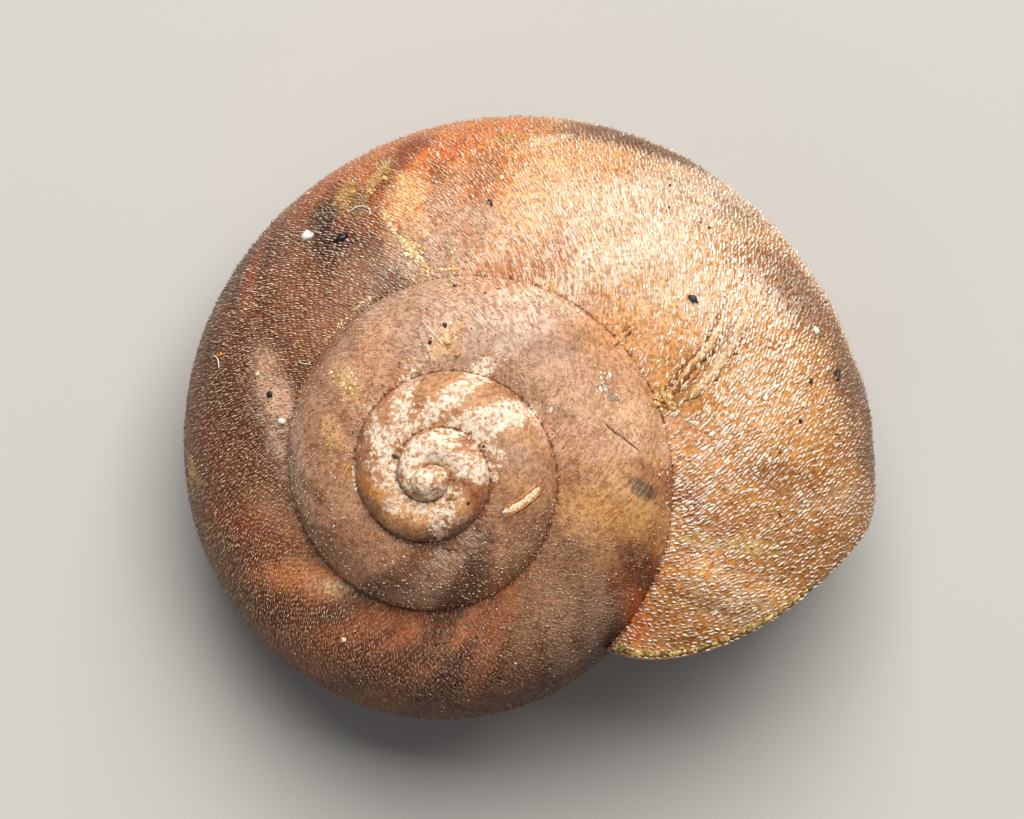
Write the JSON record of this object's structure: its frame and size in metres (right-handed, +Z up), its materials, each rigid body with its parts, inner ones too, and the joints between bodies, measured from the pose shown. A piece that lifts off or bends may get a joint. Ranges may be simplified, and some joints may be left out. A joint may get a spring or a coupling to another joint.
{
  "type": "land snail shell",
  "caption": "Empty coiled land snail shell lying on its mouth: low rounded spire, short hairs, oblique open mouth and narrow umbilicus.",
  "frame": {"origin": "on the ground under the middle of the shell's box, as the shell lies at rest on its mouth", "axes": "+Z up from the ground; +X towards the outer side of the last whorl near the mouth; +Y away from the mouth opening"},
  "size_m": [0.0144, 0.0124, 0.0073],
  "materials": {
    "shell": "thin horny skin over lime, satin, red-brown to tan, set with short pale hairs"
  },
  "bodies": {
    "root": {"shell": "shell"}
  },
  "joints": []
}
